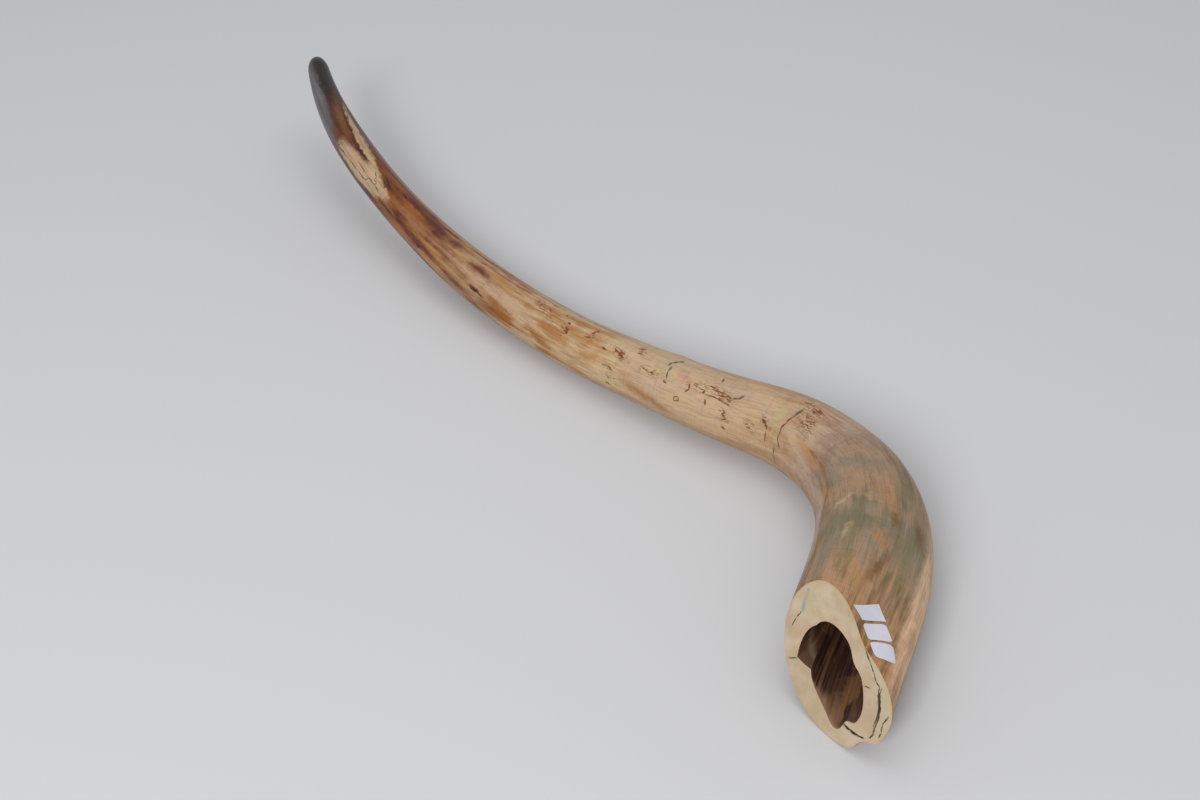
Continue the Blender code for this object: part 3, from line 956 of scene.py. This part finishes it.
def cavity_finish(gain):
    """Dark brown, with long streaks. The worn floor and the chip are lighter near the mouth, partly painted
    light that falls in there and a painted highlight on the chip, and a crack runs in along the floor."""
    f = Finish("pulp_cavity", gain)
    grain = f.attribute("grain", "Vector")
    streaks = f.noise(grain, *CAVITY_STREAKS)
    blotches = f.noise(grain, *CAVITY_BLOTCHES)
    light = f.band(streaks, *CAVITY_STEP)
    colour = f.mix(light, paint(CAVITY_DARK, gain), paint(CAVITY_LIGHT, gain))
    colour = f.tint(colour, f.band(blotches, *BROWN_STEP), CAVITY_BROWN)
    wear_and_light = f.ragged(f.attribute("wear_and_light", "Fac"), streaks, FLOOR_RAGGED)
    # Painted light: the floor is paler near the mouth, where light falls in.
    colour = f.tint(colour, f.band(wear_and_light, *FLOOR_STEP), CAVITY_FLOOR_AND_LIGHT)
    chip_and_highlight = f.ragged(f.attribute("chip_and_highlight", "Fac"), streaks, CHIP_RAGGED)
    # The chip near the mouth in two tones, partly its broken ivory and partly a painted highlight.
    colour = f.tint(colour, f.band(chip_and_highlight, *CHIP_LIGHT_STEP), CHIP_LIGHT)
    colour = f.tint(colour, f.band(chip_and_highlight, *CHIP_DARK_STEP), CHIP_DARK)
    crack = f.runs(f.place(), [CAVITY_CRACK], MARK_SOFT, floor_point, flat=FLOOR_THICK)
    colour = f.tint(colour, f.times(crack, MARK_COVER), CAVITY_SPLIT)
    rough = f.band(streaks, *CAVITY_GLOSS)
    height = f.minus(f.plus(streaks, f.times(blotches, BLOTCH_HEIGHT)), crack)
    return f.surface(colour, rough, height, CAVITY_BUMP)


def paper_finish(gain, colour):
    """Plain matt paper with faint fibres."""
    f = Finish("paper", gain)
    place_on = f.place()
    fibres = f.noise(place_on, *PAPER_FIBRES)
    smudge = f.band(f.noise(place_on, *PAPER_CLOUD), *SMUDGE_STEP)
    shade = f.tint((*colour, 1.0), smudge, SMUDGE)
    return f.surface(shade, f.band(fibres, *PAPER_GLOSS), fibres, PAPER_BUMP)


def floor_finish(gain, colour):
    """A plain floor with a faint even grain."""
    f = Finish("studio_floor", gain)
    grain = f.noise(f.place(), *FLOOR_GRAIN)
    dimmed = [FLOOR_DIMMED * part for part in colour]
    shade = f.mix(f.band(grain, *FLOOR_STEP_UP), (*dimmed, 1.0), (*colour, 1.0))
    return f.surface(shade, f.band(grain, *FLOOR_GLOSS), grain, FLOOR_BUMP)


def tube_faces(rows, columns):
    """Quads between neighbouring rings, going round. The two points after the rings
    close the first and the last one with a fan each."""
    index = np.arange(rows * columns).reshape(rows, columns)
    turned = np.roll(index, -1, axis=1)
    quads = np.stack([index[:-1], turned[:-1], turned[1:], index[1:]], axis=-1)
    tip = 0 * index[0] + rows * columns
    first = np.stack([tip, turned[0], index[0]], axis=-1)
    last = np.stack([tip + 1, index[-1], turned[-1]], axis=-1)
    return quads.reshape(-1, 4).tolist() + first.tolist() + last.tolist()


def tube_slots(skin_rows, face_rows, rows, columns):
    """The material slot of each face: 0 on the skin, 1 on the sawn face, 2 inside."""
    row = np.repeat(np.concatenate([np.arange(rows - 1), [0, rows]]), columns)
    return (row >= skin_rows - 1).astype(np.int32) + (row >= skin_rows + face_rows)


def sheet_faces(side):
    """The faces of a thin sheet of two square grids, the lower one first, with a strip
    of quads round its edge."""
    low = np.arange(side * side).reshape(side, side)
    high = low + side * side
    down = np.stack([low[:-1, :-1], low[:-1, 1:], low[1:, 1:], low[1:, :-1]], axis=-1)
    up = np.stack([high[:-1, :-1], high[1:, :-1], high[1:, 1:], high[:-1, 1:]], axis=-1)
    border = np.concatenate([low[0, :-1], low[:-1, -1], low[-1, :0:-1], low[:0:-1, 0]])
    after = np.roll(border, -1)
    edge = np.stack([border, border + side * side, after + side * side, after], axis=-1)
    return np.concatenate([down.reshape(-1, 4), up.reshape(-1, 4), edge]).tolist()


def hold(name, data):
    """An object in the scene that holds this data."""
    made = bpy.data.objects.new(name, data)
    bpy.context.scene.collection.objects.link(made)
    return made


def put_in_scene(name, points, faces):
    """A smooth-shaded object at the origin that rides on the part's one body."""
    mesh = bpy.data.meshes.new(name)
    mesh.from_pydata(to_frame(points).tolist(), [], faces)
    mesh.shade_smooth()
    piece = hold(name, mesh)
    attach(piece, "root")
    return piece


def carry(mesh, name, values):
    """Gives the mesh a value, or three, at each of its points."""
    kind, key = ("FLOAT_VECTOR", "vector") if values.ndim == 2 else ("FLOAT", "value")
    layer = mesh.attributes.new(name, kind, "POINT")
    layer.data.foreach_set(key, values.astype(np.float32).ravel())


def unroll(mesh, distance, angle):
    """A map of the skin: how far along, and how far round from the top. Corners are
    moved by a whole turn where a face crosses the seam at the foot."""
    corner = np.empty(len(mesh.loops), np.int32)
    mesh.loops.foreach_get("vertex_index", corner)
    far = np.append(distance.ravel(), [TUSK_LENGTH, CAVITY_END])[corner]
    turned = half_turn(angle - np.pi / 2)
    round_to = np.append(np.tile(turned, len(distance)), [0.0, 0.0])[corner]
    first = np.empty(len(mesh.polygons), np.int32)
    total = np.empty(len(mesh.polygons), np.int32)
    mesh.polygons.foreach_get("loop_start", first)
    mesh.polygons.foreach_get("loop_total", total)
    lead = np.repeat(round_to[first], total)
    round_to = round_to - 2 * np.pi * np.round((round_to - lead) / (2 * np.pi))
    spots = np.stack([far, round_to * along_line("half_width", far)], axis=-1) * MM
    layer = mesh.uv_layers.new(name="unrolled")
    layer.data.foreach_set("uv", spots.astype(np.float32).ravel())


class TuskShape(bpy.types.PropertyGroup):
    """How finely the tusk is divided."""

    columns: IntProperty(name="Columns", description="Points in each ring", default=288, min=48)
    skin_rows: IntProperty(name="Skin rows", description="Rings from tip to rim", default=224, min=40)
    tip_rows: IntProperty(name="Tip rows", description="Rings round the tip", default=14, min=4)
    face_rows: IntProperty(name="Face rows", description="Rings on the sawn face", default=46, min=6)
    cavity_rows: IntProperty(name="Cavity rows", description="Rings inside", default=52, min=8)
    crowding: FloatProperty(name="Crowding", description="How much rings crowd at the rim", default=0.6)
    sharp: FloatProperty(
        name="Sharp edge", description="Edges past this stay sharp", default=0.6, subtype="ANGLE"
    )


class TuskPaper(bpy.types.PropertyGroup):
    """The three papers beside the cut."""

    colour: FloatVectorProperty(
        name="Paper", description="Colour of the papers", default=(0.5, 0.5, 0.56), subtype="COLOR"
    )
    thickness: FloatProperty(
        name="Thickness", description="Thickness of a paper", default=0.0003, unit="LENGTH"
    )
    steps: IntProperty(name="Steps", description="Cells along each side of a paper", default=24, min=4)


class TuskStudio(bpy.types.PropertyGroup):
    """The floor and the light."""

    floor: FloatVectorProperty(
        name="Floor", description="Colour of the floor", default=(0.54, 0.54, 0.55), subtype="COLOR"
    )
    size: FloatProperty(name="Floor size", description="Side of the floor", default=9.0, unit="LENGTH")
    key: FloatProperty(name="Key", description="Power of the main light", default=70.0, unit="POWER")
    fill: FloatProperty(name="Fill", description="Power of the second light", default=22.0, unit="POWER")
    sky: FloatProperty(name="Sky", description="Strength of the even light", default=0.55)
    gain: FloatProperty(
        name="Colour gain", description="How much surface colours are raised to suit the light", default=1.0
    )


class MakeTusk(bpy.types.Operator):
    """Makes the tusk with its sawn face and cavity in place of the plain solid"""

    bl_idname = "mammoth.tusk"
    bl_label = "Make tusk"

    def execute(self, context):
        shape = context.scene.tusk_shape
        gain = context.scene.tusk_studio.gain
        angle = np.linspace(0, 2 * np.pi, shape.columns, endpoint=False)
        outer, far = skin_rings(angle, shape.skin_rows, shape.tip_rows, shape.crowding)
        inner, deep, depth = cavity_rings(angle, shape.cavity_rows)
        face, wall, stained = face_rings(outer[-1], inner[0], shape.face_rows)
        rings = np.concatenate([outer, face, inner])
        ends = [along_line("middle", TUSK_LENGTH), along_line("middle", CAVITY_END)]
        points = np.concatenate([rings.reshape(-1, 3), ends])
        piece = put_in_scene("tusk_ivory", points, tube_faces(*rings.shape[:2]))
        mesh = piece.data
        for material in (skin_finish(gain), face_finish(gain), cavity_finish(gain)):
            mesh.materials.append(material)
        slots = tube_slots(len(outer), len(face), *rings.shape[:2])
        mesh.polygons.foreach_set("material_index", slots)
        mesh.set_sharp_from_angle(angle=shape.sharp)
        flat = np.zeros(face.shape[:2])
        distance = np.concatenate([far, flat, deep])
        radius = np.concatenate([along_line("half_width", far), flat, GRAIN_RADIUS + 0 * deep])
        grain = np.stack([distance, radius * np.cos(angle), radius * np.sin(angle)], axis=-1)
        tail = [[TUSK_LENGTH, 0, 0], [CAVITY_END, 0, 0]]
        carry(mesh, "grain", np.concatenate([grain.reshape(-1, 3), tail]) * MM)
        unroll(mesh, distance, angle)
        none = 0 * far
        hollow = 0 * depth
        # Painted light inside the cavity: its floor and edge paler near the mouth, and a highlight on the
        # chip.
        wear_and_light, chipped_and_highlight = self.shading(angle, depth)
        for name, parts in (
            ("wall", (none, wall, hollow + 1)),
            ("stain", (none, stained, hollow)),
            ("wear_and_light", (none, flat, wear_and_light)),
            ("chip_and_highlight", (none, flat, chipped_and_highlight)),
        ):
            carry(mesh, name, np.append(np.concatenate(parts).ravel(), [0.0, 0.0]))
        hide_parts("tusk")
        return {"FINISHED"}

    def shading(self, angle, depth):
        """How pale each point of the cavity is painted. The worn floor and the mouth's edge are partly
        painted light that falls in at the mouth, and the chip is partly a painted highlight. Both fade with
        depth, and where it is chipped the floor isn't made paler."""
        degrees = np.degrees(angle)
        chipped_and_highlight = np.exp(-depth / PALE_FADE) * ((degrees > CHIP_FROM) & (degrees < CHIP_TO))
        wear_and_light = np.exp(-depth / PALE_FADE) * hump(angle, PALE_ANGLE, PALE_SPREAD)
        wear_and_light = wear_and_light + EDGE_PALE * np.exp(-depth / EDGE_FADE)
        return wear_and_light * (1 - np.clip(chipped_and_highlight * CHIP_OVER_PALE, 0, 1)), chipped_and_highlight


class MakePapers(bpy.types.Operator):
    """Makes the three papers stuck beside the cut"""

    bl_idname = "mammoth.papers"
    bl_label = "Make papers"

    def execute(self, context):
        paper = context.scene.tusk_paper
        finish = paper_finish(context.scene.tusk_studio.gain, tuple(paper.colour))
        faces = sheet_faces(paper.steps + 1)
        for name, (corners, rounding) in PAPERS.items():
            below = paper_sheet(corners, rounding, PAPER_GAP, paper.steps)
            lift = PAPER_GAP + paper.thickness / MM
            above = paper_sheet(corners, rounding, lift, paper.steps)
            points = np.concatenate([below.reshape(-1, 3), above.reshape(-1, 3)])
            piece = put_in_scene("paper_" + name, points, faces)
            piece.data.set_sharp_from_angle(angle=context.scene.tusk_shape.sharp)
            piece.data.materials.append(finish)
            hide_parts(name)
        return {"FINISHED"}


class MakeStudio(bpy.types.Operator):
    """Makes the floor, the lights and the camera"""

    bl_idname = "mammoth.studio"
    bl_label = "Make studio"

    def execute(self, context):
        studio = context.scene.tusk_studio
        half = studio.size / 2
        corners = [(-half, -half, 0), (half, -half, 0), (half, half, 0), (-half, half, 0)]
        mesh = bpy.data.meshes.new("floor")
        mesh.from_pydata(corners, [], [(0, 1, 2, 3)])
        mesh.materials.append(floor_finish(studio.gain, tuple(studio.floor)))
        floor = hold("floor", mesh)
        self.light("key", KEY_PLACE, KEY_SIZE, studio.key)
        self.light("fill", FILL_PLACE, FILL_SIZE, studio.fill)
        world = bpy.data.worlds.new("studio")
        world.use_nodes = True
        sky = world.node_tree.nodes["Background"]
        sky.inputs["Color"].default_value = SKY_COLOUR
        sky.inputs["Strength"].default_value = studio.sky
        context.scene.world = world
        context.scene.view_settings.view_transform = "Standard"
        camera = hold("camera", bpy.data.cameras.new("camera"))
        camera.data.lens = CAMERA_LENS
        camera.data.sensor_width = CAMERA_SENSOR
        camera.data.clip_start = CAMERA_NEAR
        camera.location = Vector(CAMERA_PLACE) * MM
        camera.rotation_euler = Euler((np.radians(CAMERA_TILT), 0.0, 0.0))
        context.scene.camera = camera
        return {"FINISHED"}

    def light(self, name, spot, size, power):
        """A square soft light that faces the tusk."""
        lamp = hold(name, bpy.data.lights.new(name, "AREA"))
        lamp.data.size = size
        lamp.data.energy = power
        lamp.location = spot
        lamp.rotation_euler = (-Vector(spot)).to_track_quat("-Z", "Y").to_euler()


class TuskPanel(bpy.types.Panel):
    """Lists the pieces and their settings"""

    bl_idname = "VIEW3D_PT_mammoth_tusk"
    bl_label = "Mammoth Tusk"
    bl_space_type = "VIEW_3D"
    bl_region_type = "UI"
    bl_category = "Tusk"

    def draw(self, context):
        for operator, group in (
            (MakeTusk, context.scene.tusk_shape),
            (MakePapers, context.scene.tusk_paper),
            (MakeStudio, context.scene.tusk_studio),
        ):
            box = self.layout.box()
            box.operator(operator.bl_idname)
            for name in group.__annotations__:
                box.prop(group, name)


CLASSES = (TuskShape, TuskPaper, TuskStudio, MakeTusk, MakePapers, MakeStudio, TuskPanel)


def register():
    for item in CLASSES:
        bpy.utils.register_class(item)
    bpy.types.Scene.tusk_shape = PointerProperty(type=TuskShape)
    bpy.types.Scene.tusk_paper = PointerProperty(type=TuskPaper)
    bpy.types.Scene.tusk_studio = PointerProperty(type=TuskStudio)


def unregister():
    del bpy.types.Scene.tusk_shape
    del bpy.types.Scene.tusk_paper
    del bpy.types.Scene.tusk_studio
    for item in reversed(CLASSES):
        bpy.utils.unregister_class(item)


def main():
    register()
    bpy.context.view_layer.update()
    bpy.ops.mammoth.tusk()
    bpy.ops.mammoth.papers()
    bpy.ops.mammoth.studio()


if __name__ == "__main__":
    main()
